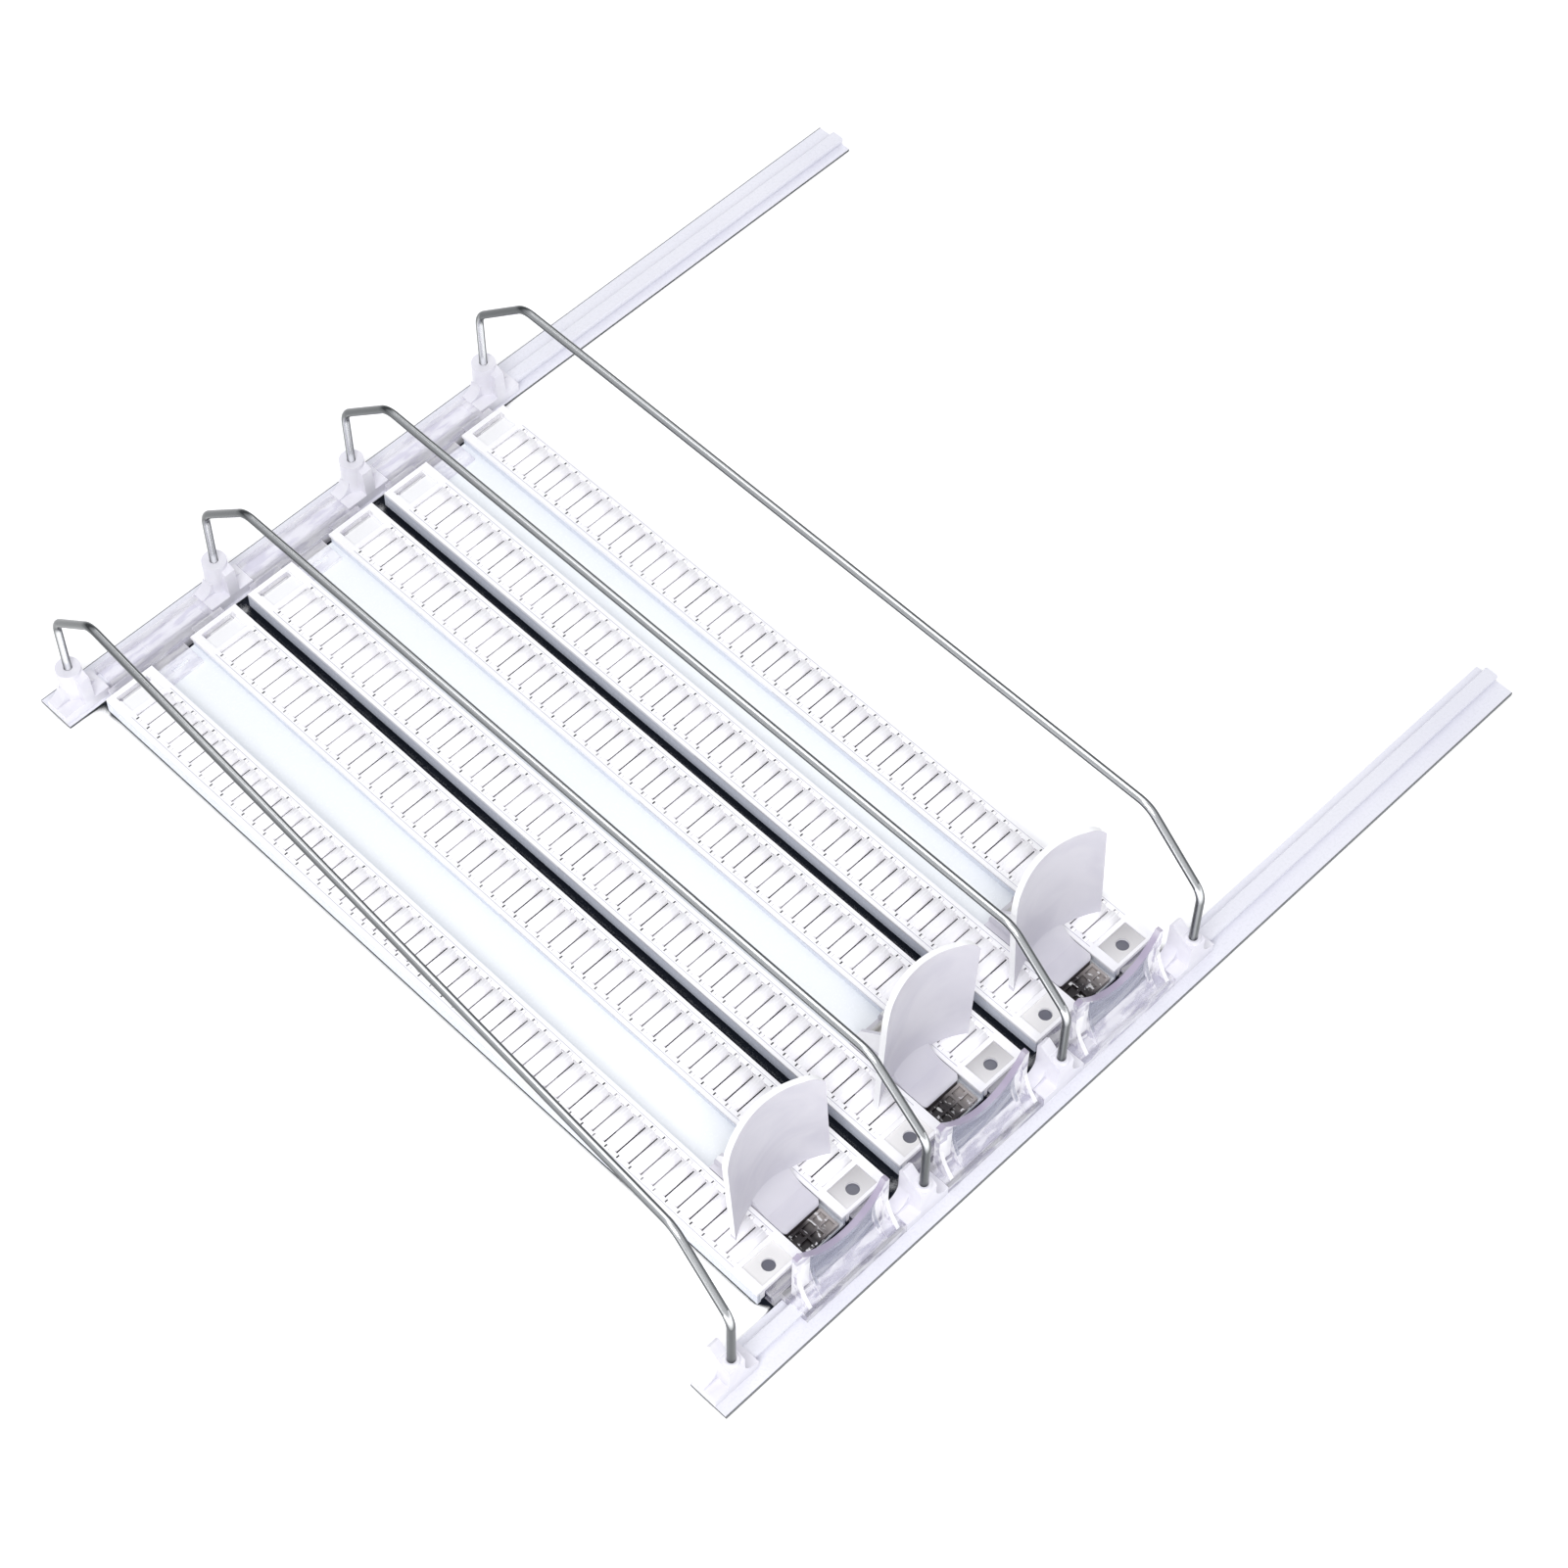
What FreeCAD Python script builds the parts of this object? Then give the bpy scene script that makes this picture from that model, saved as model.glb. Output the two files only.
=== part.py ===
import FreeCAD
import Part
import math
import os

# A can organizer for a fridge shelf: two cross rails carry three roller lanes, each with a
# sprung pusher and a clear front stop, and four wire dividers that stand between the lanes.
# Millimetres. X runs along the rails, Y from the front to the rear, Z up. The origin is in
# the middle of the footprint, on the shelf.

# Overall
depth = 410.0
rail_length = 440.2
rail_shift = 22.5
lane_count = 3
pitch = 73.1
first_gap = 1.75

# Rails: a flat strip with a T-shaped ridge
rail_width = 18.2
flange = 1.3
ridge_from_edge = 8.1
ridge_width = 6.2
ridge_neck = 5.0
ridge_under = 2.4
ridge_height = 5.0
ridge_round = 0.9

# What rides on a ridge
saddle_clearance = 0.15
saddle_roof = 1.05
saddle_wall = 2.5
module_gap = 0.15

# Connectors and divider wires
foot_length = 21.6
column_width = 7.8
column_rib = 4.9
column_low = 18.2
column_high = 25.0
rear_boss_height = 21.5
rear_boss_radius = 5.2
rear_rib_height = 18.3
slot_width = 0.6
slot_depth = 0.5
wire_diameter = 3.4
wire_clearance = 0.1
wire_from_edge = 8.3
wire_seat = 7.5
wire_shoulder = 51.0
wire_height = 80.5
wire_slope_run = 29.1
wire_bend = 12.0
bend_steps = 2

# Lane extrusion
lane_width = 66.4
lane_inset = 4.8
lane_clearance = 1.6
lane_floor = 1.4
lane_wall = 1.4
channel_wall = 1.2
channel_width = 21.6
lane_top = 9.3

# Roller strips
deck = 1.4
mouth_width = 19.8
strip_clearance = 0.15
roller_length = 15.8
roller_diameter = 5.9
roller_pitch = 6.35
end_deck = 13.7
roller_stand = 0.6
roller_facets = 3
valley_depth = 2.9
comb_base = 4.4
end_hole = 5.4
end_hole_in = 6.0
end_recess = 1.0
end_rim = 1.2
end_land = 2.0
end_floor = 1.2
lip_slot_in = 2.3
lip_slot = 2.4

# Clear stop and rear clip
shelf_tongue = 1.55
fork_tongue = 2.2
fork_reach = 11.0
fork_side_gap = 0.45
fork_gap = 0.2
bridge_wall = 1.6
bridge_gap = 0.3
saddle_bevel = 0.8
stop_span = 46.6
stop_high = 36.5
stop_low = 27.0
stop_wall = 2.5
stop_panel = 1.3
stop_bow = 2.0
stop_in = 1.2
stop_rim = 3.2
brace_width = 1.7
brace_step = 6.6
brace_height = 25.0
skirt_height = 11.0
skirt_toe = 1.2
latch_width = 16.0
latch_reach = 9.6
latch_height = 1.4
pocket_depth = 0.35
pocket_inset = 3.0

# Pusher
paddle_width = 48.4
paddle_radius = 43.0
paddle_thick = 2.3
paddle_bottom = 12.0
paddle_shoulder = 68.6
paddle_height = 75.0
paddle_corner = 7.0
paddle_lean = 0.6
paddle_tilts = (-3.2, 3.2, -2.8)
paddle_in = 27.4
foot_width = 18.8
foot_front = 17.4
foot_rear = 21.3
foot_top = 9.0
foot_nose = 2.2
foot_running = 0.25
foot_flange_width = 20.9
foot_flange_height = 4.2
cheek = 1.4
cheek_height = 30.0
coil_radius = 7.5
coil_hole = 9.8
coil_width = 10.0
coil_gap = 0.6
coil_back = 11.2
hub_clearance = 0.4
hub_reach = 3.6
band_thick = 0.2
band_lift = 0.05
anchor_width = 17.6
anchor_height = 2.8
anchor_gap = 0.3
cell_across = 3
cell_along = 2
cell_wall = 1.1
cell_depth = 1.5

# Worked out from the above
half_depth = depth / 2
rail_left = -(rail_length + rail_shift) / 2
ridge_mid = half_depth - ridge_from_edge - ridge_width / 2
rail_inner = half_depth - rail_width
saddle_out = ridge_mid + ridge_width / 2 + saddle_clearance + saddle_wall
saddle_in = ridge_mid - ridge_width / 2 - saddle_clearance - saddle_wall
saddle_top = ridge_height + saddle_clearance + saddle_roof
saddle_length = pitch - foot_length - 2 * module_gap
first_lane_x = rail_left + rail_shift + foot_length + first_gap + saddle_length / 2
half_lane = lane_width / 2
lane_end = rail_inner - lane_inset
floor_top = lane_clearance + lane_floor
deck_under = lane_top - deck
end_under = lane_top - end_recess - end_floor
bay_in = channel_width / 2 + channel_wall
bay_out = half_lane - lane_wall
strip_mid = (half_lane + mouth_width / 2) / 2
comb_in = strip_mid - roller_length / 2
comb_out = strip_mid + roller_length / 2
roller_count = int(2 * (lane_end - end_deck) / roller_pitch)
comb_end = roller_count * roller_pitch / 2
wire_y = half_depth - wire_from_edge
bridge_y = rail_inner - bridge_gap
anchor_front = -lane_end + anchor_gap
paddle_y = -lane_end + paddle_in
foot_nose_y = paddle_y - foot_front
foot_tail_y = paddle_y + foot_rear
foot_bottom = floor_top + foot_running
coil_y = paddle_y + coil_back
coil_z = floor_top + band_lift + band_thick + 0.05 + coil_radius


def vec(x, y, z):
    return FreeCAD.Vector(x, y, z)


def prism(points, along):
    """A straight prism over a closed outline of corner points."""
    face = Part.Face(Part.makePolygon(points + [points[0]]))
    return face.extrude(along)


def block(x0, x1, y0, y1, z0, z1):
    return Part.makeBox(x1 - x0, y1 - y0, z1 - z0, vec(x0, y0, z0))


def along_x(outline, x0, x1):
    """Extrude a (y, z) outline from x0 to x1."""
    return prism([vec(x0, y, z) for y, z in outline], vec(x1 - x0, 0, 0))


def along_y(outline, y0, y1):
    """Extrude an (x, z) outline from y0 to y1."""
    return prism([vec(x, y0, z) for x, z in outline], vec(0, y1 - y0, 0))


def curved_face(segments):
    return Part.Face(Part.Wire([s.toShape() for s in segments]))


def line(a, b):
    return Part.LineSegment(a, b)


def arc(a, middle, b):
    return Part.Arc(a, middle, b)


def to_rear(shape):
    """The same moulding turned to face the rear."""
    return shape.mirror(vec(0, 0, 0), vec(0, 1, 0))


def both_sides(shape):
    return shape.fuse(shape.mirror(vec(0, 0, 0), vec(1, 0, 0)))


def save(name, shape):
    solid = shape.Solids[0] if len(shape.Solids) == 1 else shape
    solid.exportStep("parts/" + name + ".step")


def ridge_outline(grow):
    """The T-shaped ridge in (y, z) on the front rail, grown on every side for a groove."""
    neck = ridge_neck / 2 + grow
    head = ridge_width / 2 + grow
    step = head - neck
    return [
        (-ridge_mid - neck, flange - 1.0),
        (-ridge_mid - neck, ridge_under - grow),
        (-ridge_mid - head, ridge_under - grow + step),
        (-ridge_mid - head, ridge_height + grow),
        (-ridge_mid + head, ridge_height + grow),
        (-ridge_mid + head, ridge_under - grow + step),
        (-ridge_mid + neck, ridge_under - grow),
        (-ridge_mid + neck, flange - 1.0),
    ]


def front_rail():
    left = rail_left
    right = rail_left + rail_length
    strip = block(left, right, -half_depth, -rail_inner, 0, flange)
    ridge = along_x(ridge_outline(0), left, right)
    tops = [
        e for e in ridge.Edges
        if e.BoundBox.ZMin > ridge_height - 0.01 and e.BoundBox.XLength > 1
    ]
    return strip.fuse(ridge.makeFillet(ridge_round, tops)).removeSplitter()


def saddle_groove(half_length):
    return along_x(ridge_outline(saddle_clearance), -half_length - 1, half_length + 1)


def flare(x_column, x_end, y0, y1):
    """A concave foot that runs from a column's side down to the saddle's end."""
    run = x_end - x_column
    rise = abs(run)
    top = saddle_top + rise
    bow = rise * (1 - math.sqrt(0.5))
    corner = vec(x_column, y0, saddle_top - 0.5)
    high = vec(x_column, y0, top)
    middle = vec(x_column + math.copysign(bow, run), y0, saddle_top + bow)
    low = vec(x_end, y0, saddle_top)
    toe = vec(x_end, y0, saddle_top - 0.5)
    face = curved_face([
        line(corner, high), arc(high, middle, low), line(low, toe), line(toe, corner),
    ])
    return face.extrude(vec(0, y1 - y0, 0))


def connector_foot():
    """The saddle that both kinds of connector share, on the front rail, column at x = 0."""
    half = foot_length / 2
    foot = block(-half, half, -saddle_out, -saddle_in, flange, saddle_top)
    slot = block(
        -half - 1, -column_width / 2, -ridge_mid - slot_width / 2,
        -ridge_mid + slot_width / 2, saddle_top - slot_depth, saddle_top + 1,
    )
    return foot.cut(slot)


def wire_hole(y):
    hole_radius = wire_diameter / 2 + wire_clearance
    return Part.makeCylinder(hole_radius, column_high, vec(0, y, wire_seat))


def front_connector():
    """A column with a sloping top, high towards the lanes, and feet that flare to each side."""
    half = foot_length / 2
    side = column_width / 2
    split = -ridge_mid + slot_width / 2
    middle_height = (column_low + column_high) / 2
    post = along_x([
        (-saddle_out, saddle_top - 0.5), (-saddle_out, column_low),
        (split, middle_height), (split, saddle_top - 0.5),
    ], -side, side)
    rib = along_x([
        (split - 0.5, saddle_top - 0.5), (split - 0.5, middle_height), (split, middle_height),
        (-saddle_in - 1.5, column_high), (-saddle_in, column_high - 1.5),
        (-saddle_in, saddle_top - 0.5),
    ], -side, -side + column_rib)
    body = connector_foot().fuse([
        post, rib,
        flare(-side, -half, split, -saddle_in),
        flare(side, half, -saddle_out, split),
    ])
    return body.cut([saddle_groove(half), wire_hole(-wire_y)]).removeSplitter()


def rear_connector():
    """A round boss for the wire at the rear, with a narrow rib that slopes down to the lanes."""
    half = foot_length / 2
    side = column_width / 2
    wide = rear_boss_radius
    foot = to_rear(connector_foot())
    boss = Part.makeCylinder(wide, rear_boss_height - saddle_top + 0.5,
                             vec(0, wire_y, saddle_top - 0.5))
    rib_left = side - column_rib
    rib = along_x([
        (wire_y, saddle_top - 0.5), (wire_y, rear_boss_height),
        (saddle_in + 1.2, rear_rib_height), (saddle_in, saddle_top), (saddle_in, saddle_top - 0.5),
    ], rib_left, side)
    split = ridge_mid + slot_width / 2
    web = block(-wide, wide, split, wire_y, saddle_top - 0.5, saddle_top + half - wide)
    body = foot.fuse([
        boss, rib, web,
        flare(-wide, -half, split, saddle_out),
        flare(wide, half, split, saddle_out),
    ])
    groove = to_rear(saddle_groove(half))
    return body.cut([groove, wire_hole(wire_y)]).removeSplitter()


def bent_path(points, radius):
    """The points of a route that goes round each corner on a few chords of an arc."""
    path = [points[0]]
    for i in range(1, len(points) - 1):
        corner = points[i]
        back = (points[i - 1] - corner).normalize()
        ahead = (points[i + 1] - corner).normalize()
        half_angle = back.getAngle(ahead) / 2
        reach = radius / math.tan(half_angle)
        centre = corner + (back + ahead).normalize() * (radius / math.sin(half_angle))
        first = corner + back * reach - centre
        last = corner + ahead * reach - centre
        turn = 180 - 2 * math.degrees(half_angle)
        for j in range(bend_steps + 1):
            step = FreeCAD.Rotation(first.cross(last), turn * j / bend_steps)
            path.append(centre + step.multVec(first))
    path.append(points[-1])
    return path


def divider_wire(front_x, rear_x):
    """A bent steel rod: two legs, two slopes and a long level top."""
    top = wire_height - wire_diameter / 2
    lean = (rear_x - front_x) / (2 * wire_y)
    middle = (rear_x + front_x) / 2

    def at(y, z):
        return vec(middle + lean * y, y, z)

    slope_y = wire_y - wire_slope_run
    route = Part.makePolygon(bent_path([
        at(-wire_y, wire_seat), at(-wire_y, wire_shoulder), at(-slope_y, top),
        at(slope_y, top), at(wire_y, wire_shoulder), at(wire_y, wire_seat),
    ], wire_bend))
    ring = Part.Wire(Part.makeCircle(wire_diameter / 2, at(-wire_y, wire_seat), vec(0, 0, 1)))
    rod = route.makePipeShell([ring], True, False, 1)
    section = math.pi * wire_diameter ** 2 / 4
    print("wire volume / (section x length)", round(rod.Volume / (section * route.Length), 4))
    return rod


def lane_base():
    """The lane's extrusion: a floor, two outer walls and the channel that the pusher runs in."""
    half_channel = channel_width / 2
    half = [
        (half_lane, lane_clearance), (half_lane, deck_under), (bay_out, deck_under),
        (bay_out, floor_top), (bay_in, floor_top), (bay_in, deck_under),
        (half_channel, deck_under), (half_channel, floor_top),
    ]
    mirrored = [(-x, z) for x, z in reversed(half)]
    return along_y(half + mirrored, -lane_end, lane_end)


def roller_comb():
    """The rollers' upper halves side by side, a few facets for each, on a common core."""
    radius = roller_diameter / 2
    axle = lane_top + roller_stand - radius
    swing = math.acos((lane_top - axle) / radius)
    valley = lane_top + roller_stand - valley_depth
    outline = [(-comb_end, comb_base), (-comb_end, valley)]
    for i in range(roller_count):
        y = -comb_end + (i + 0.5) * roller_pitch
        for j in range(roller_facets + 1):
            angle = swing * (2 * j / roller_facets - 1)
            outline.append((y + radius * math.sin(angle), axle + radius * math.cos(angle)))
        outline.append((y + roller_pitch / 2, valley))
    outline.append((comb_end, comb_base))
    return along_x(outline, comb_in, comb_out)


def roller_strip():
    """The right-hand strip: a frame that drops into the bay, with its rollers and end decks."""
    inner_skirt = bay_in + strip_clearance
    outer_skirt = bay_out - strip_clearance
    skirt_foot = floor_top + strip_clearance
    inner = along_y([
        (mouth_width / 2, deck_under), (inner_skirt, deck_under), (inner_skirt, skirt_foot),
        (comb_in, skirt_foot), (comb_in, lane_top), (mouth_width / 2, lane_top),
    ], -lane_end, lane_end)
    outer = along_y([
        (comb_out, skirt_foot), (outer_skirt, skirt_foot), (outer_skirt, deck_under),
        (half_lane, deck_under), (half_lane, lane_top), (comb_out, lane_top),
    ], -lane_end, lane_end)
    ends = [
        block(comb_in, comb_out, comb_end, lane_end, end_under, lane_top),
        block(comb_in, comb_out, -lane_end, -comb_end, end_under, lane_top),
    ]
    hole = Part.makeCylinder(
        end_hole / 2, 2 * deck, vec(strip_mid, -lane_end + end_hole_in, end_under - 0.5)
    )
    floor = lane_top - end_recess
    slot_end = lane_end - lip_slot_in
    front_recess = block(comb_in, comb_out, -lane_end + end_rim, -comb_end - end_land,
                         floor, lane_top + 1)
    rear_recess = block(comb_in, comb_out, comb_end + end_land, slot_end, floor, lane_top + 1)
    slot = block(
        comb_in + 0.5, comb_out + 0.5, slot_end - lip_slot, slot_end, end_under - 0.5, lane_top + 1
    )
    frame = inner.fuse([outer] + ends).cut([hole, front_recess, rear_recess, slot])
    return frame.fuse(roller_comb()).removeSplitter()


def lane_saddle():
    """A clear clip on the front rail's ridge, with a step down to the shelf behind the rail."""
    half = saddle_length / 2
    body = along_x([
        (-saddle_out, flange), (-saddle_out, saddle_top - saddle_bevel),
        (-saddle_out + saddle_bevel, saddle_top), (-bridge_y + bridge_wall, saddle_top),
        (-bridge_y + bridge_wall, 0), (-bridge_y, 0), (-bridge_y, flange),
    ], -half, half)
    return body.cut(saddle_groove(half))


def lane_fork(reach):
    """Right-hand tongues that hold the lane's end, one under its floor and one under its deck."""
    x0 = comb_in + fork_side_gap
    x1 = comb_out - fork_side_gap
    top = end_under - fork_gap
    end = -bridge_y
    post = block(x0, x1, end, end + bridge_wall, 0, top)
    under = block(x0, x1, end, -lane_end + reach * 2, 0, shelf_tongue)
    inside = block(x0, x1, end, -lane_end + reach, top - fork_tongue, top)
    return post.fuse([under, inside])


def stop_wall_plan(thick, low, high):
    """The bowed wall between two heights, its middle nearest the front."""
    half = stop_span / 2
    y_end = -saddle_in - stop_in
    y_mid = y_end - stop_bow
    front_end = vec(half, y_end - thick, low)
    front_left = vec(-half, y_end - thick, low)
    rear_end = vec(half, y_end, low)
    rear_left = vec(-half, y_end, low)
    face = curved_face([
        arc(rear_left, vec(0, y_mid, low), rear_end),
        line(rear_end, front_end),
        arc(front_end, vec(0, y_mid - thick, low), front_left),
        line(front_left, rear_left),
    ])
    return face.extrude(vec(0, 0, high - low))


def stop_outline(inset):
    """The stop seen from the front: two horns and a dip between them, drawn in by the inset."""
    half = stop_span / 2 - inset
    horn = stop_high - inset
    dip = stop_low - inset
    low = saddle_top - 0.5 + inset
    tip = half - 2.2
    y = -half_depth
    a = vec(-half, y, low)
    b = vec(half, y, low)
    c = vec(half, y, horn - 1.5)
    d = vec(tip, y, horn)
    e = vec(-tip, y, horn)
    f = vec(-half, y, horn - 1.5)
    face = curved_face([
        line(a, b), line(b, c), line(c, d), arc(d, vec(0, y, dip), e), line(e, f), line(f, a),
    ])
    return face.extrude(vec(0, half_depth, 0))


def stop_sweep(height, ease, x0, x1):
    """A concave sweep from the wall's front down to the clip's front edge."""
    y_back = -saddle_in - stop_in - stop_bow - 0.2
    y_wall = -saddle_in - stop_in - stop_wall
    y_toe = -saddle_out + skirt_toe
    low = saddle_top - 0.5
    top = vec(x0, y_wall, saddle_top + height)
    toe = vec(x0, y_toe, saddle_top)
    middle = vec(x0, y_wall + (y_toe - y_wall) * ease, saddle_top + height * ease)
    face = curved_face([
        line(vec(x0, y_back, low), vec(x0, y_back, saddle_top + height)),
        line(vec(x0, y_back, saddle_top + height), top), arc(top, middle, toe),
        line(toe, vec(x0, y_toe, low)), line(vec(x0, y_toe, low), vec(x0, y_back, low)),
    ])
    return face.extrude(vec(x1 - x0, 0, 0))


def front_stop():
    """Clear moulding: rail clip, lane fork and a bowed wall with a thick rim and two horns."""
    wall = stop_wall_plan(stop_wall, saddle_top - 0.5, stop_high).common(stop_outline(0))
    panel = stop_wall_plan(stop_wall, 0, stop_high).common(stop_outline(stop_rim))
    keep = stop_wall_plan(stop_panel, 0, stop_high)
    wall = wall.cut(panel.cut(keep))
    outer = stop_span / 2
    inner = outer - brace_step
    braces = [
        stop_sweep(brace_height, 0.3, outer - brace_width, outer),
        stop_sweep(brace_height, 0.3, inner - brace_width, inner),
    ]
    skirt = stop_sweep(skirt_height, 0.37, -inner + 0.5, inner - 0.5)
    body = lane_saddle().fuse([both_sides(lane_fork(fork_reach)), wall, skirt]
                              + [both_sides(brace) for brace in braces])
    return body.removeSplitter()


def rear_clip():
    """Clear moulding: rail clip, lane fork with upstanding lips, and a latch in the channel."""
    slot_end = lane_end - lip_slot_in
    fork = lane_fork(fork_reach)
    lip = block(
        comb_in + 1.2, comb_out - 1.2, -slot_end + 0.3, -slot_end + lip_slot - 0.3,
        end_under - fork_gap - 0.5, lane_top - 0.3,
    )
    latch_foot = floor_top + 0.15
    latch = block(
        -latch_width / 2, latch_width / 2, -bridge_y, -lane_end + latch_reach,
        latch_foot, latch_foot + latch_height,
    )
    slit_y = -lane_end + latch_reach / 2
    slit = block(-latch_width / 4, latch_width / 4, slit_y - 0.8, slit_y + 0.8, 0, lane_top)
    half = saddle_length / 2
    pocket = block(
        half * 0.2, half - pocket_inset, -saddle_out + pocket_inset, -saddle_in - 1,
        saddle_top - pocket_depth, saddle_top + 1,
    )
    body = lane_saddle().fuse([both_sides(fork.fuse(lip)), latch.cut(slit)])
    return to_rear(body.cut(both_sides(pocket)).removeSplitter())


def paddle_plate(tilt):
    """The curved plate: a bowed sheet cut to a rounded outline, then leaned and tilted."""
    half = paddle_width / 2
    centre_y = paddle_y - paddle_radius
    outer = Part.makeCylinder(paddle_radius + paddle_thick, 2 * paddle_height,
                              vec(0, centre_y, 0))
    inner = Part.makeCylinder(paddle_radius, 2 * paddle_height, vec(0, centre_y, 0))
    y = centre_y
    shoulder = paddle_shoulder + paddle_corner * 0.66
    a = vec(-half, y, paddle_bottom)
    b = vec(half, y, paddle_bottom)
    c = vec(half, y, paddle_shoulder)
    d = vec(half - paddle_corner, y, shoulder)
    e = vec(-half + paddle_corner, y, shoulder)
    f = vec(-half, y, paddle_shoulder)
    round_right = vec(half - paddle_corner * 0.28, y, paddle_shoulder + paddle_corner * 0.42)
    round_left = vec(-half + paddle_corner * 0.28, y, paddle_shoulder + paddle_corner * 0.42)
    face = curved_face([
        line(a, b), line(b, c), arc(c, round_right, d),
        arc(d, vec(0, y, paddle_height), e), arc(e, round_left, f), line(f, a),
    ])
    sheet = outer.cut(inner).common(face.extrude(vec(0, 2 * paddle_radius, 0)))
    root = vec(0, paddle_y, paddle_bottom)
    sheet.rotate(root, vec(1, 0, 0), -paddle_lean)
    sheet.rotate(root, vec(0, 1, 0), tilt)
    return sheet


def foot_plan():
    """The tongue seen from above: a strip with two rounded corners at its nose."""
    half = foot_width / 2
    bow = foot_nose * (1 - math.sqrt(0.5))
    y0 = foot_nose_y
    y1 = y0 + foot_nose
    inner = half - foot_nose
    face = curved_face([
        line(vec(half, foot_tail_y, 0), vec(half, y1, 0)),
        arc(vec(half, y1, 0), vec(half - bow, y0 + bow, 0), vec(inner, y0, 0)),
        line(vec(inner, y0, 0), vec(-inner, y0, 0)),
        arc(vec(-inner, y0, 0), vec(-half + bow, y0 + bow, 0), vec(-half, y1, 0)),
        line(vec(-half, y1, 0), vec(-half, foot_tail_y, 0)),
        line(vec(-half, foot_tail_y, 0), vec(half, foot_tail_y, 0)),
    ])
    return face.extrude(vec(0, 0, paddle_height))


def pusher_foot():
    """The tongue in the channel, which curves up into the plate, and its guide flange."""
    half = foot_width / 2
    rear = paddle_y + paddle_thick
    root = paddle_bottom + 8.0
    x = -half
    nose_low = vec(x, foot_nose_y, foot_bottom)
    nose_high = vec(x, foot_nose_y, foot_top - foot_nose)
    nose_mid = vec(x, foot_nose_y + foot_nose * 0.3, foot_top - foot_nose * 0.3)
    nose_top = vec(x, foot_nose_y + foot_nose, foot_top)
    ramp_start = vec(x, paddle_y - 8.0, foot_top)
    ramp_mid = vec(x, paddle_y - 1.8, foot_top + 3.6)
    ramp_end = vec(x, paddle_y + 1.2, root)
    tongue = curved_face([
        line(nose_low, nose_high), arc(nose_high, nose_mid, nose_top),
        line(nose_top, ramp_start), arc(ramp_start, ramp_mid, ramp_end),
        line(ramp_end, vec(x, rear + 1.0, root)),
        line(vec(x, rear + 1.0, root), vec(x, rear + 1.0, foot_top)),
        line(vec(x, rear + 1.0, foot_top), vec(x, foot_tail_y, foot_top)),
        line(vec(x, foot_tail_y, foot_top), vec(x, foot_tail_y, foot_bottom)),
        line(vec(x, foot_tail_y, foot_bottom), nose_low),
    ]).extrude(vec(foot_width, 0, 0))
    tongue = tongue.common(foot_plan())
    flange_block = block(
        -foot_flange_width / 2, foot_flange_width / 2, foot_nose_y + 2.0, foot_tail_y,
        foot_bottom, foot_bottom + foot_flange_height,
    )
    return tongue.fuse(flange_block)


def coil_cheek():
    """A cheek that braces the plate and carries half of the coil's hub, on the right."""
    x0 = coil_width / 2 + coil_gap
    front = paddle_y + paddle_thick * 0.5
    lean = (cheek_height - paddle_bottom) * math.tan(math.radians(paddle_lean))
    side = along_x([
        (front, foot_top - 1.0), (front + lean, cheek_height),
        (paddle_y + paddle_thick + 4.0, cheek_height),
        (coil_y + coil_radius, coil_z + coil_radius),
        (foot_tail_y, coil_z), (foot_tail_y, foot_top - 1.0),
    ], x0, x0 + cheek)
    hub = Part.makeCylinder(
        coil_hole / 2 - hub_clearance, hub_reach + coil_gap,
        vec(x0 - hub_reach - coil_gap, coil_y, coil_z), vec(1, 0, 0),
    )
    return side.fuse(hub)


def pusher(tilt):
    """The pusher: plate, tongue and cheeks in one moulding, open below for coil and band."""
    well = block(
        -coil_width / 2 - coil_gap, coil_width / 2 + coil_gap,
        coil_y - coil_radius - coil_gap, foot_tail_y - 1.6, 0, foot_top + 0.5,
    )
    tunnel = block(
        -coil_width / 2 - coil_gap, coil_width / 2 + coil_gap, foot_nose_y - 1, coil_y,
        0, foot_bottom + 2 * band_thick,
    )
    body = pusher_foot().cut([well, tunnel])
    plate = paddle_plate(tilt)
    return body.fuse([plate, both_sides(coil_cheek())]).removeSplitter()


def spring_coil():
    """The wound steel band, a thick ring on the hub."""
    roll = Part.makeCylinder(
        coil_radius, coil_width, vec(-coil_width / 2, coil_y, coil_z), vec(1, 0, 0)
    )
    hole = Part.makeCylinder(
        coil_hole / 2, coil_width, vec(-coil_width / 2, coil_y, coil_z), vec(1, 0, 0)
    )
    return roll.cut(hole)


def spring_band():
    """The unwound end of the band, flat on the channel's floor from the anchor to the coil."""
    low = floor_top + band_lift
    half = coil_width / 2
    return block(-half, half, anchor_front + 1.0, coil_y, low, low + band_thick)


def band_anchor():
    """The block that clamps the band at the channel's front end, with rows of open cells."""
    half = anchor_width / 2
    y0 = anchor_front
    y1 = foot_nose_y - anchor_gap
    top = floor_top + anchor_height
    body = block(-half, half, y0, y1, floor_top, top)
    groove_top = floor_top + 2 * band_lift + band_thick
    groove = block(-coil_width / 2 - 0.15, coil_width / 2 + 0.15, y0 - 1, y1 + 1, 0, groove_top)
    step_x = (anchor_width - cell_wall) / cell_across
    step_y = (y1 - y0 - cell_wall) / cell_along
    cells = []
    for i in range(cell_across):
        for j in range(cell_along):
            x = -half + cell_wall + i * step_x
            y = y0 + cell_wall + j * step_y
            cells.append(block(x, x + step_x - cell_wall, y, y + step_y - cell_wall,
                               top - cell_depth, top + 1))
    return body.cut([groove] + cells)


def moved(shape, x):
    return shape.translated(vec(x, 0, 0))


os.makedirs("parts", exist_ok=True)

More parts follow.
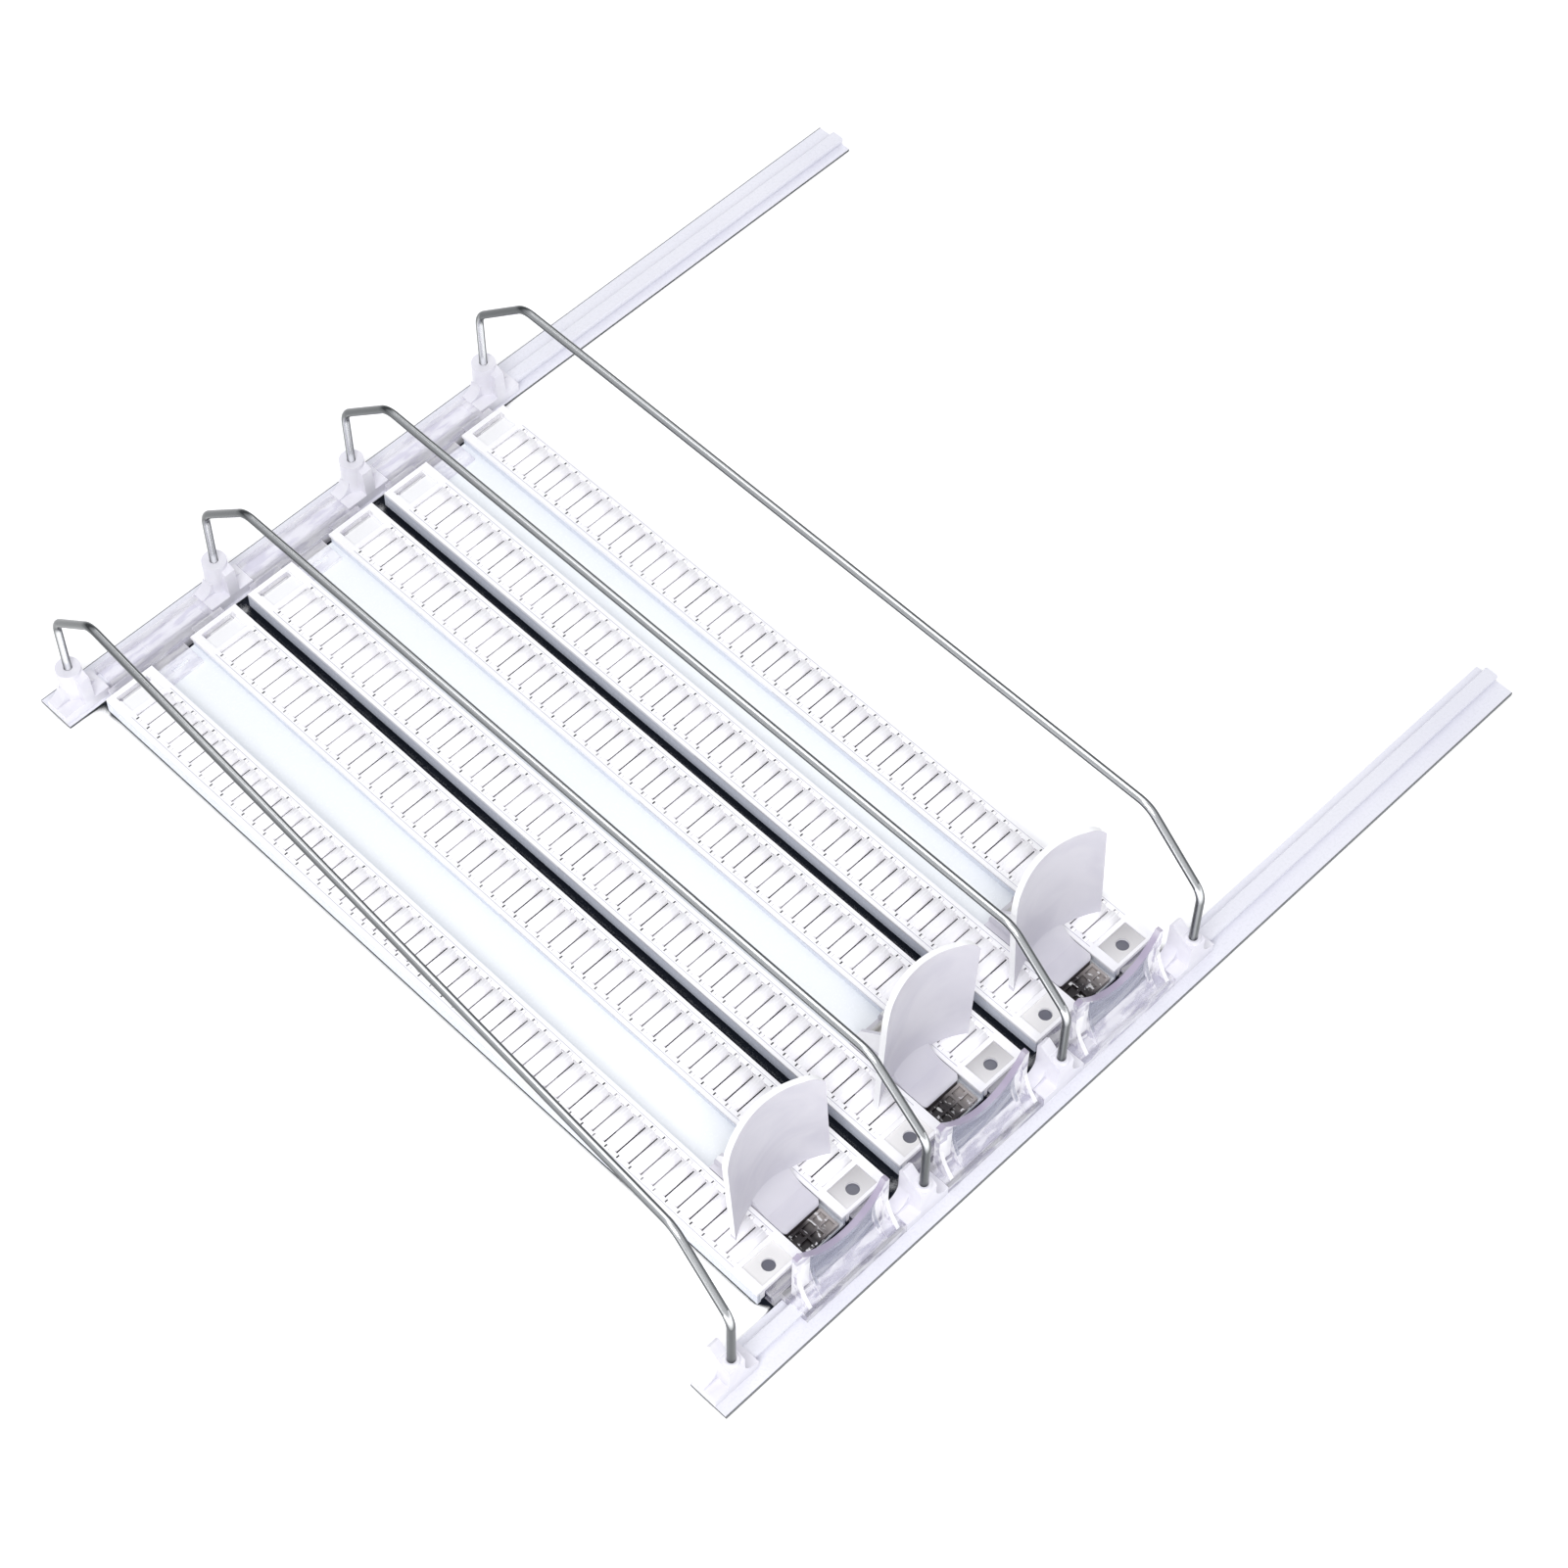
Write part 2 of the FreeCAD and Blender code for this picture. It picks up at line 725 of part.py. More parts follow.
rail = front_rail()
save("front_rail", rail)
save("rear_rail", moved(to_rear(rail), rail_shift))

strip = roller_strip()
lane_pieces = {
    "lane_base": lane_base(),
    "right_roller_strip": strip,
    "left_roller_strip": strip.mirror(vec(0, 0, 0), vec(1, 0, 0)),
    "front_stop": front_stop(),
    "rear_clip": rear_clip(),
    "spring_coil": spring_coil(),
    "spring_band": spring_band(),
    "band_anchor": band_anchor(),
}
for number in range(1, lane_count + 1):
    lane_x = first_lane_x + (number - 1) * pitch
    for name, piece in lane_pieces.items():
        save(f"{name}_{number}", moved(piece, lane_x))
    tilt = paddle_tilts[(number - 1) % len(paddle_tilts)]
    save(f"pusher_{number}", moved(pusher(tilt), lane_x))

front_piece = front_connector()
rear_piece = rear_connector()
for number in range(1, lane_count + 2):
    if number == 1:
        front_x = rail_left + foot_length / 2
        rear_x = front_x + rail_shift
    else:
        front_x = first_lane_x + (number - 1.5) * pitch
        rear_x = front_x
    save(f"divider_wire_{number}", divider_wire(front_x, rear_x))
    save(f"front_connector_{number}", moved(front_piece, front_x))
    save(f"rear_connector_{number}", moved(rear_piece, rear_x))
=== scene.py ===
import math
import bmesh
import bpy
from mathutils import Matrix, Vector


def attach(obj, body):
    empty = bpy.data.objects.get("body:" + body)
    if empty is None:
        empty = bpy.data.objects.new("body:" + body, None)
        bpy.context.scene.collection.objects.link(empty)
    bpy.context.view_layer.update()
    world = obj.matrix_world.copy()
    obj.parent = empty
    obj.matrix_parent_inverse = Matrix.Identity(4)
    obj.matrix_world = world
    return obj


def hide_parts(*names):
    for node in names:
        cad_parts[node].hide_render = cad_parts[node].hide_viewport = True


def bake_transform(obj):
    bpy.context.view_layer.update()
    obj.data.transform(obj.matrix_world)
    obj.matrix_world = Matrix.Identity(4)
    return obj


# A can organizer for a fridge shelf, built up as it goes together: two rails, the connectors
# and wires that divide it, the roller lanes with their clear ends, and the sprung pushers.
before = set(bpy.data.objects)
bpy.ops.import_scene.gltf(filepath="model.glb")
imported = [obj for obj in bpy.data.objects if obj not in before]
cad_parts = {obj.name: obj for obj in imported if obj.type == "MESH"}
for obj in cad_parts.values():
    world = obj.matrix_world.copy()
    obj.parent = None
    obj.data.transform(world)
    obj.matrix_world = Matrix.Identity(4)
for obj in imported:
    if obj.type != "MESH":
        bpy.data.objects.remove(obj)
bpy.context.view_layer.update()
scene = bpy.context.scene

# ---- Studio
# The camera looks down from ahead of the front left corner, as in the photograph. The room is
# pale, with a broad lamp overhead, a strong one by the camera and a weak one behind.
camera_data = bpy.data.cameras.new("camera")
camera_data.sensor_width = 36.0
camera_data.lens = 83.55
camera_data.clip_end = 50.0
camera = bpy.data.objects.new("camera", camera_data)
camera.matrix_world = (
    Matrix.Translation((-0.59184, -0.58065, 1.18838))
    @ Matrix.Rotation(math.radians(-45.7276), 4, "Z")
    @ Matrix.Rotation(math.radians(33.5552), 4, "X")
    @ Matrix.Rotation(math.radians(0.7529), 4, "Z")
)
scene.collection.objects.link(camera)
scene.camera = camera
scene.view_settings.view_transform = "Standard"

# The room lights the object dimly, but looks as white as the floor where it is seen itself.
world = bpy.data.worlds.new("white_room")
world.use_nodes = True
room = world.node_tree
lighting = room.nodes["Background"]
lighting.inputs["Color"].default_value = (0.95, 0.965, 1.0, 1)
lighting.inputs["Strength"].default_value = 0.43
backdrop = room.nodes.new("ShaderNodeBackground")
backdrop.inputs["Color"].default_value = (1.0, 1.0, 1.0, 1)
seen_directly = room.nodes.new("ShaderNodeLightPath")
either = room.nodes.new("ShaderNodeMixShader")
room.links.new(seen_directly.outputs["Is Camera Ray"], either.inputs["Fac"])
room.links.new(lighting.outputs["Background"], either.inputs[1])
room.links.new(backdrop.outputs["Background"], either.inputs[2])
room.links.new(either.outputs["Shader"], room.nodes["World Output"].inputs["Surface"])
scene.world = world


def soft_lamp(name, place, width, power):
    """A square white area lamp at a place, turned to the object's middle."""
    lamp_data = bpy.data.lights.new(name, "AREA")
    lamp_data.shape = "SQUARE"
    lamp_data.size = width
    lamp_data.energy = power
    lamp = bpy.data.objects.new(name, lamp_data)
    lamp.location = place
    lamp.rotation_euler = (-Vector(place)).to_track_quat("-Z", "Y").to_euler()
    scene.collection.objects.link(lamp)


soft_lamp("overhead", (0.1, 0.3, 1.9), width=1.5, power=9)
soft_lamp("by_the_camera", (-1.2, -0.9, 1.5), width=1.2, power=27)
soft_lamp("rear_right", (1.2, 1.3, 1.3), width=0.9, power=4)


def new_material(name):
    """A material with a Principled shader; returns it with its node tree and the shader."""
    material = bpy.data.materials.new(name)
    material.use_nodes = True
    tree = material.node_tree
    return material, tree, tree.nodes["Principled BSDF"]


def feed(tree, value, socket):
    """Gives a socket a value, the three numbers of a colour, or another socket's output."""
    if isinstance(value, bpy.types.NodeSocket):
        tree.links.new(value, socket)
    elif socket.type == "RGBA":
        socket.default_value = (*value, 1)
    else:
        socket.default_value = value


def mix_colours(tree, share, first, second):
    """Mixes two colours, given as sockets or as values; returns the result's socket."""
    mix = tree.nodes.new("ShaderNodeMix")
    mix.data_type = "RGBA"
    feed(tree, share, mix.inputs["Factor"])
    feed(tree, first, mix.inputs["A"])
    feed(tree, second, mix.inputs["B"])
    return mix.outputs["Result"]


def ramp_between(tree, value, low, high):
    """A share that rises from 0 to 1 as a value goes from low to high."""
    ramp = tree.nodes.new("ShaderNodeMapRange")
    ramp.inputs["From Min"].default_value = low
    ramp.inputs["From Max"].default_value = high
    feed(tree, value, ramp.inputs["Value"])
    return ramp.outputs["Result"]


# The floor is white paper in nine patches. The one under the organizer is the middle one, and in
# the deep slots between lanes its colour and glow are painted near black by ambient occlusion:
# painted shade.
paper_white = (0.95, 0.95, 0.955)
slot_painted_shade = (0.010, 0.012, 0.018)
slot_depth = 0.014
patch_edges_x = (-6, -0.24, 0.24, 6)
patch_edges_y = (-6, -0.21, 0.21, 6)
middle_patch = 4
floor_mesh = bpy.data.meshes.new("floor")
floor_mesh.from_pydata(
    [(x, y, 0) for y in patch_edges_y for x in patch_edges_x], [],
    [(4 * j + i, 4 * j + i + 1, 4 * j + i + 5, 4 * j + i + 4) for j in range(3) for i in range(3)],
)
floor = bpy.data.objects.new("floor", floor_mesh)
scene.collection.objects.link(floor)
for name in ("floor_white", "floor_under_lanes"):
    paper, tree, shader = new_material(name)
    shader.inputs["Base Color"].default_value = (*paper_white, 1)
    shader.inputs["Roughness"].default_value = 0.9
    shader.inputs["Specular IOR Level"].default_value = 0.1
    shader.inputs["Emission Color"].default_value = (1, 1, 1, 1)
    shader.inputs["Emission Strength"].default_value = 0.3
    floor_mesh.materials.append(paper)
floor_mesh.polygons[middle_patch].material_index = 1
openness = tree.nodes.new("ShaderNodeAmbientOcclusion")
openness.samples = 32
openness.inputs["Distance"].default_value = slot_depth
# Painted shade: near black where ambient occlusion finds the slots between lanes.
colour = mix_colours(tree, ramp_between(tree, openness.outputs["AO"], 0.46, 0.54),
                     slot_painted_shade, paper_white)
tree.links.new(colour, shader.inputs["Base Color"])
tree.links.new(colour, shader.inputs["Emission Color"])
shader.inputs["Specular IOR Level"].default_value = 0.0


# ---- Rails
# Two extruded strips of white plastic with a T-shaped ridge, lying flat on the shelf. Their lower
# edges and the corner of their outer sides are painted dark: painted shade.
rail_edge_height = 0.00115
rail_outer_side = 0.20462


def reckon(tree, operation, *values):
    """A math node on numbers or sockets; returns its output."""
    node = tree.nodes.new("ShaderNodeMath")
    node.operation = operation
    for socket, value in zip(node.inputs, values):
        feed(tree, value, socket)
    return node.outputs["Value"]


def above(tree, value, limit):
    """A mask that is 1 where a value is above a limit."""
    return reckon(tree, "GREATER_THAN", value, limit)


def below(tree, value, limit):
    """A mask that is 1 where a value is below a limit."""
    return reckon(tree, "LESS_THAN", value, limit)


def size_of(tree, value):
    """A value without its sign."""
    return reckon(tree, "ABSOLUTE", value)


def all_of(tree, mask, *others):
    """A mask that is 1 only where every mask given is 1."""
    for other in others:
        mask = reckon(tree, "MULTIPLY", mask, other)
    return mask


def axes_of(tree, kind):
    """X, Y and Z of the surface's place ("Object") or of the way it faces ("Normal")."""
    surface = tree.nodes.new("ShaderNodeTexCoord")
    split = tree.nodes.new("ShaderNodeSeparateXYZ")
    tree.links.new(surface.outputs[kind], split.inputs["Vector"])
    return split.outputs


def upright_faces(tree):
    """A mask that is 1 on faces that stand up, such as walls and edges."""
    return below(tree, size_of(tree, axes_of(tree, "Normal")["Z"]), 0.5)


def noise_on(tree, scale, squeeze=(1.0, 1.0, 1.0), detail=2.0, distortion=0.0):
    """Noise on the surface's own place, finer along the axes that are squeezed."""
    surface = tree.nodes.new("ShaderNodeTexCoord")
    squeezed = tree.nodes.new("ShaderNodeMapping")
    squeezed.inputs["Scale"].default_value = squeeze
    noise = tree.nodes.new("ShaderNodeTexNoise")
    noise.inputs["Detail"].default_value = detail
    noise.inputs["Distortion"].default_value = distortion
    feed(tree, scale, noise.inputs["Scale"])
    tree.links.new(surface.outputs["Object"], squeezed.inputs["Vector"])
    tree.links.new(squeezed.outputs["Vector"], noise.inputs["Vector"])
    return noise.outputs["Fac"]


def moulded_white_group():
    """Shared finish of the white mouldings: faint clouding, flow marks and a fine bump."""
    group = bpy.data.node_groups.new("moulded_white", "ShaderNodeTree")
    for name, in_out, kind in (
        ("Colour", "INPUT", "Color"), ("Shade", "INPUT", "Color"),
        ("Cloud size", "INPUT", "Float"), ("Gloss", "INPUT", "Float"),
        ("Colour", "OUTPUT", "Color"), ("Roughness", "OUTPUT", "Float"),
        ("Normal", "OUTPUT", "Vector"),
    ):
        group.interface.new_socket(name=name, in_out=in_out, socket_type=f"NodeSocket{kind}")
    inputs = group.nodes.new("NodeGroupInput").outputs
    outputs = group.nodes.new("NodeGroupOutput").inputs
    cloud = noise_on(group, inputs["Cloud size"], detail=3.0, distortion=1.2)
    colour = mix_colours(group, ramp_between(group, cloud, 0.35, 0.72),
                         inputs["Colour"], inputs["Shade"])
    grain = noise_on(group, 900.0)
    roughness = reckon(group, "MULTIPLY_ADD", grain, 0.12, inputs["Gloss"])
    bump = group.nodes.new("ShaderNodeBump")
    bump.inputs["Strength"].default_value = 0.05
    bump.inputs["Distance"].default_value = 0.0006
    group.links.new(noise_on(group, 60.0), bump.inputs["Height"])
    group.links.new(colour, outputs["Colour"])
    group.links.new(roughness, outputs["Roughness"])
    group.links.new(bump.outputs["Normal"], outputs["Normal"])
    return group


moulded_white = moulded_white_group()


def white_plastic(name, colour, shade, cloud_size, gloss):
    """A white moulding's material; returns it with its tree, shader and finished colour."""
    material, tree, shader = new_material(name)
    finish = tree.nodes.new("ShaderNodeGroup")
    finish.node_tree = moulded_white
    finish.inputs["Colour"].default_value = (*colour, 1)
    finish.inputs["Shade"].default_value = (*shade, 1)
    finish.inputs["Cloud size"].default_value = cloud_size
    finish.inputs["Gloss"].default_value = gloss
    tree.links.new(finish.outputs["Colour"], shader.inputs["Base Color"])
    tree.links.new(finish.outputs["Roughness"], shader.inputs["Roughness"])
    tree.links.new(finish.outputs["Normal"], shader.inputs["Normal"])
    shader.inputs["IOR"].default_value = 1.46
    return material, tree, shader, finish.outputs["Colour"]


def paint(node, material):
    """Gives a CAD node its material."""
    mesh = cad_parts[node].data
    mesh.materials.clear()
    mesh.materials.append(material)


rail_white, tree, shader, colour = white_plastic(
    "rail_white", (0.84, 0.84, 0.905), (0.80, 0.80, 0.88), cloud_size=9.0, gloss=0.22
)
at = axes_of(tree, "Object")
# Painted shade: the corner of the rails' outer sides is painted dark.
painted_outer_shade = above(tree, size_of(tree, at["Y"]), rail_outer_side)
colour = mix_colours(tree, painted_outer_shade, colour, (0.16, 0.17, 0.18))
# Painted shade: the rails' low upright edges are painted near black.
painted_edge_shade = all_of(tree, upright_faces(tree), below(tree, at["Z"], rail_edge_height))
colour = mix_colours(tree, painted_edge_shade, colour, (0.045, 0.05, 0.055))
tree.links.new(colour, shader.inputs["Base Color"])
for name in ("front_rail", "rear_rail"):
    paint(name, rail_white)

# ---- Connectors
# White mouldings that clip over the ridge and hold a wire's end in a drilled column.
# Painted shade: the connectors' white is painted a darker lavender grey than the lanes'.
connector_white, tree, shader, colour = white_plastic(
    "connector_white", (0.87, 0.86, 0.915), (0.80, 0.785, 0.865), cloud_size=70.0, gloss=0.25
)
for number in range(1, 5):
    paint(f"front_connector_{number}", connector_white)
    paint(f"rear_connector_{number}", connector_white)


def joined_rings(name, rings, material, closed):
    """An object of rings of points, each joined to the next; an open row gets end faces."""
    shape = bmesh.new()
    rows = [[shape.verts.new(point) for point in ring] for ring in rings]
    for near, far in zip(rows, rows[1:] + rows[:1] if closed else rows[1:]):
        for i in range(len(near)):
            j = (i + 1) % len(near)
            shape.faces.new((near[i], near[j], far[j], far[i]))
    if not closed:
        shape.faces.new(rows[0][::-1])
        shape.faces.new(rows[-1])
    bmesh.ops.recalc_face_normals(shape, faces=shape.faces)
    mesh = bpy.data.meshes.new(name)
    shape.to_mesh(mesh)
    shape.free()
    mesh.materials.append(material)
    obj = bpy.data.objects.new(name, mesh)
    scene.collection.objects.link(obj)
    return obj


# A thin collar, moulded on, stands round each front wire where it enters its column. Its
# profile is given as radius and height, from inside the column up and round.
wire_fronts = (-0.22055, -0.12335, -0.05025, 0.02285)
wire_reach = 0.1967
collar_profile = ((0.00172, 0.0186), (0.0030, 0.0186), (0.0030, 0.0205), (0.0027, 0.0209),
                  (0.0020, 0.0209), (0.00172, 0.0206))
collar_sides = 28
collar_angles = [2 * math.pi * i / collar_sides for i in range(collar_sides)]
for number, x in enumerate(wire_fronts, 1):
    collar = joined_rings(f"collar_{number}", [
        [(x + radius * math.cos(angle), -wire_reach + radius * math.sin(angle), z)
         for angle in collar_angles] for radius, z in collar_profile
    ], connector_white, closed=True)
    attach(collar, f"divider_{number}")

# ---- Divider wires
# Polished steel rod, bent four times in one plane, pushed into its two connectors. The rod
# runs along a filleted path, and its section is round.
wire_radius = 0.0017
wire_bend = 0.012
wire_foot = 0.0075
wire_shoulder = 0.051
wire_top = 0.0788
wire_slope_end = 0.1676
wire_rears = (-0.19805, -0.12335, -0.05025, 0.02285)
wire_profile = ((-wire_reach, wire_foot), (-wire_reach, wire_shoulder),
                (-wire_slope_end, wire_top), (wire_slope_end, wire_top),
                (wire_reach, wire_shoulder), (wire_reach, wire_foot))
leg_inner_side = 0.1945
wire_bend_steps = 10
wire_sides = 28


def rod_tree():
    """Geometry nodes: fillets the object's own path and sweeps a round rod along it."""
    tree = bpy.data.node_groups.new("rod_along_path", "GeometryNodeTree")
    for name, in_out, kind in (
        ("Geometry", "INPUT", "Geometry"), ("Radius", "INPUT", "Float"),
        ("Bend", "INPUT", "Float"), ("Metal", "INPUT", "Material"),
        ("Geometry", "OUTPUT", "Geometry"),
    ):
        tree.interface.new_socket(name=name, in_out=in_out, socket_type=f"NodeSocket{kind}")
    nodes, links = tree.nodes, tree.links
    inputs = nodes.new("NodeGroupInput").outputs
    outputs = nodes.new("NodeGroupOutput").inputs
    path = nodes.new("GeometryNodeMeshToCurve")
    fillet = nodes.new("GeometryNodeFilletCurve")
    fillet.mode = "POLY"
    fillet.inputs["Count"].default_value = wire_bend_steps
    ring = nodes.new("GeometryNodeCurvePrimitiveCircle")
    ring.inputs["Resolution"].default_value = wire_sides
    sweep = nodes.new("GeometryNodeCurveToMesh")
    sweep.inputs["Fill Caps"].default_value = True
    smooth = nodes.new("GeometryNodeSetShadeSmooth")
    realize = nodes.new("GeometryNodeRealizeInstances")
    metal = nodes.new("GeometryNodeSetMaterial")
    links.new(inputs["Geometry"], path.inputs["Mesh"])
    links.new(path.outputs["Curve"], fillet.inputs["Curve"])
    links.new(inputs["Bend"], fillet.inputs["Radius"])
    links.new(fillet.outputs["Curve"], sweep.inputs["Curve"])
    links.new(inputs["Radius"], ring.inputs["Radius"])
    links.new(ring.outputs["Curve"], sweep.inputs["Profile Curve"])
    links.new(sweep.outputs["Mesh"], smooth.inputs["Geometry"])
    links.new(smooth.outputs["Geometry"], realize.inputs["Geometry"])
    links.new(realize.outputs["Geometry"], metal.inputs["Geometry"])
    links.new(inputs["Metal"], metal.inputs["Material"])
    links.new(metal.outputs["Geometry"], outputs["Geometry"])
    return tree


def grown(name, seed_mesh, tree, values):
    """Runs a geometry-nodes tree on a seed mesh and returns the result as a plain mesh object."""
    obj = bpy.data.objects.new(name, seed_mesh)
    scene.collection.objects.link(obj)
    modifier = obj.modifiers.new(tree.name, "NODES")
    modifier.node_group = tree
    for item in tree.interface.items_tree:
        if item.in_out == "INPUT" and item.name in values:
            modifier[item.identifier] = values[item.name]
    seen = obj.evaluated_get(bpy.context.evaluated_depsgraph_get())
    mesh = bpy.data.meshes.new_from_object(seen)
    obj.modifiers.clear()
    obj.data = mesh
    mesh.name = name
    return obj


# The steel's colour is painted bright face on and dark at a glance: painted reflection. The rod's
# upright ends catch more of the room than its runs do, so the painted dark sets in later there,
# latest at the rear.
polished_steel, tree, shader = new_material("polished_steel")
shader.inputs["Metallic"].default_value = 1.0
drawing_lines = noise_on(tree, 1.0, squeeze=(450, 9, 9))
tone = mix_colours(tree, drawing_lines, (0.84, 0.86, 0.87), (0.98, 0.99, 1.0))
at = axes_of(tree, "Object")
# Painted reflection: the upright ends get less of the painted dark edge.
brighter = reckon(tree, "ADD",
                  reckon(tree, "MULTIPLY", below(tree, at["Y"], -leg_inner_side), 0.17),
                  reckon(tree, "MULTIPLY", above(tree, at["Y"], leg_inner_side), 0.29))
grazing = tree.nodes.new("ShaderNodeLayerWeight")
grazing.inputs["Blend"].default_value = 0.5
# Painted reflection: the colour turns dark towards the rod's edges.
edge = ramp_between(tree, reckon(tree, "SUBTRACT", grazing.outputs["Facing"], brighter),
                    0.12, 0.36)
tree.links.new(mix_colours(tree, edge, tone, (0.10, 0.107, 0.11)), shader.inputs["Base Color"])
tree.links.new(reckon(tree, "MULTIPLY_ADD", drawing_lines, 0.14, 0.18),
               shader.inputs["Roughness"])

rod = rod_tree()
for number, (front_x, rear_x) in enumerate(zip(wire_fronts, wire_rears), 1):
    middle_x = (front_x + rear_x) / 2
    skew = (rear_x - front_x) / (2 * wire_reach)
    path = bpy.data.meshes.new("wire_path")
    path.from_pydata([(middle_x + skew * y, y, z) for y, z in wire_profile],
                     [(i, i + 1) for i in range(len(wire_profile) - 1)], [])
    wire = grown(f"wire_{number}", path, rod,
                 {"Radius": wire_radius, "Bend": wire_bend, "Metal": polished_steel})
    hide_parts(f"divider_wire_{number}")
    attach(wire, f"divider_{number}")

# ---- Lane bases
# Extruded white plastic with a cool tint: a floor, two outer walls and the channel walls
# that the pusher runs between. Its upright faces are painted a darker blue grey than its tops,
# and the bay floors under the roller strips are painted near black: painted shade.
lane_middles = (-0.1599, -0.0868, -0.0137)
lane_pitch = 0.0731
strip_offset = 0.02155
bay_half_width = 0.0099
bay_floor_top = 0.0045


def lane_place_group():
    """Where a point lies in its lane: how far across, off its strip's middle, along and up."""
    group = bpy.data.node_groups.new("place_in_lane", "ShaderNodeTree")
    at = axes_of(group, "Object")
    from_first = reckon(group, "SUBTRACT", at["X"], lane_middles[0])
    lanes_over = reckon(group, "ROUND", reckon(group, "DIVIDE", from_first, lane_pitch))
    across = reckon(group, "SUBTRACT", from_first,
                    reckon(group, "MULTIPLY", lanes_over, lane_pitch))
    off_strip = reckon(group, "SUBTRACT", size_of(group, across), strip_offset)
    values = {"Across": across, "Off strip": off_strip, "Along": at["Y"], "Height": at["Z"]}
    for name in values:
        group.interface.new_socket(name=name, in_out="OUTPUT", socket_type="NodeSocketFloat")
    outputs = group.nodes.new("NodeGroupOutput").inputs
    for name, value in values.items():
        group.links.new(value, outputs[name])
    return group


lane_place = lane_place_group()


def place_in_lane(tree):
    """Puts the shared place-in-lane group in a material and returns its outputs."""
    node = tree.nodes.new("ShaderNodeGroup")
    node.node_tree = lane_place
    return node.outputs


lane_white, tree, shader, colour = white_plastic(
    "lane_white", (0.95, 0.975, 1.0), (0.92, 0.95, 0.985), cloud_size=6.0, gloss=0.2
)
spot = place_in_lane(tree)
# Painted shade: upright faces are painted darker than the tops.
colour = mix_colours(tree, upright_faces(tree), colour, (0.78, 0.81, 0.895))
# Painted shade: the bay floors under the strips are painted near black.
painted_bay_shade = all_of(tree, below(tree, size_of(tree, spot["Off strip"]), bay_half_width),
                   below(tree, spot["Height"], bay_floor_top))
colour = mix_colours(tree, painted_bay_shade, colour, (0.03, 0.035, 0.06))
tree.links.new(colour, shader.inputs["Base Color"])
for number in range(1, 4):
    paint(f"lane_base_{number}", lane_white)

# ---- Roller strips
# White moulded frames with small white rollers side by side. Each roller turns on two stubs
# that lie in notches. The narrow gaps between rollers and the notches are painted dark, some more
# than others: painted shade. Frames and rollers glow faintly: painted light.
roller_radius = 0.00296
roller_length = 0.0155
roller_pitch = 0.00635
roller_count = 53
roller_axle = 0.00695
roller_sides = 20
stub_radius = 0.0011
stub_axle = 0.0086
stub_sides = 12
notch_length = 0.0015
notch_width = 0.0022
notch_shift = 0.00025
notch_film = 0.00008
strip_top = 0.0093
rollers_end = 0.1683
gap_half_width = 0.0076
gap_top = 0.00765
seam_inside = 0.00975
seam_outside = 0.0101
recess_low = 0.0080
recess_high = 0.0085
front_deck_start = -0.177
front_deck_end = -0.162


def uneven_painted_shade(tree):
    """Painted shade, dark grey to black, different from one roller's gap to the next."""
    place = tree.nodes.new("ShaderNodeTexCoord")
    step = tree.nodes.new("ShaderNodeVectorMath")
    step.operation = "DIVIDE"
    step.inputs[1].default_value = (lane_pitch / 2, roller_pitch, 1.0)
    whole = tree.nodes.new("ShaderNodeVectorMath")
    whole.operation = "FLOOR"
    chance = tree.nodes.new("ShaderNodeTexWhiteNoise")
    tree.links.new(place.outputs["Object"], step.inputs[0])
    tree.links.new(step.outputs["Vector"], whole.inputs[0])
    tree.links.new(whole.outputs["Vector"], chance.inputs["Vector"])
    return mix_colours(tree, reckon(tree, "POWER", chance.outputs["Value"], 1.5),
                       (0.004, 0.004, 0.005), (0.42, 0.41, 0.43))


# The frame's top has a seam along each row of notches. The end decks are sunk and painted grey:
# painted shade, on the front ones darker slantwise towards the rollers, on the rear ones plain.
strip_white, tree, shader, colour = white_plastic(
    "strip_white", (0.95, 0.945, 0.965), (0.92, 0.915, 0.945), cloud_size=40.0, gloss=0.3
)
spot = place_in_lane(tree)
off_middle = size_of(tree, spot["Off strip"])
among_rollers = below(tree, size_of(tree, spot["Along"]), rollers_end)
# Painted shade: the gaps between rollers are painted dark.
between = all_of(tree, among_rollers, below(tree, spot["Height"], gap_top),
                 below(tree, off_middle, gap_half_width))
colour = mix_colours(tree, between, colour, uneven_painted_shade(tree))
seam = all_of(tree, among_rollers, above(tree, off_middle, seam_inside),
              below(tree, off_middle, seam_outside))
colour = mix_colours(tree, seam, colour, (0.60, 0.60, 0.65))
# Painted shade: the sunk end decks are painted grey.
recess = all_of(tree, above(tree, spot["Height"], recess_low),
                below(tree, spot["Height"], recess_high))
slantwise = reckon(tree, "MULTIPLY_ADD", spot["Across"], 0.35, spot["Along"])
front_deck = mix_colours(
    tree, ramp_between(tree, slantwise, front_deck_start, front_deck_end),
    (0.80, 0.79, 0.79), (0.46, 0.45, 0.46))
deck = mix_colours(tree, above(tree, spot["Along"], 0.0), front_deck, (0.86, 0.86, 0.88))
colour = mix_colours(tree, recess, colour, deck)
tree.links.new(colour, shader.inputs["Base Color"])
# Painted light: the frame glows faintly in its own colour.
tree.links.new(colour, shader.inputs["Emission Color"])
shader.inputs["Emission Strength"].default_value = 0.08
for number in range(1, 4):
    for side in ("left", "right"):
        paint(f"{side}_roller_strip_{number}", strip_white)


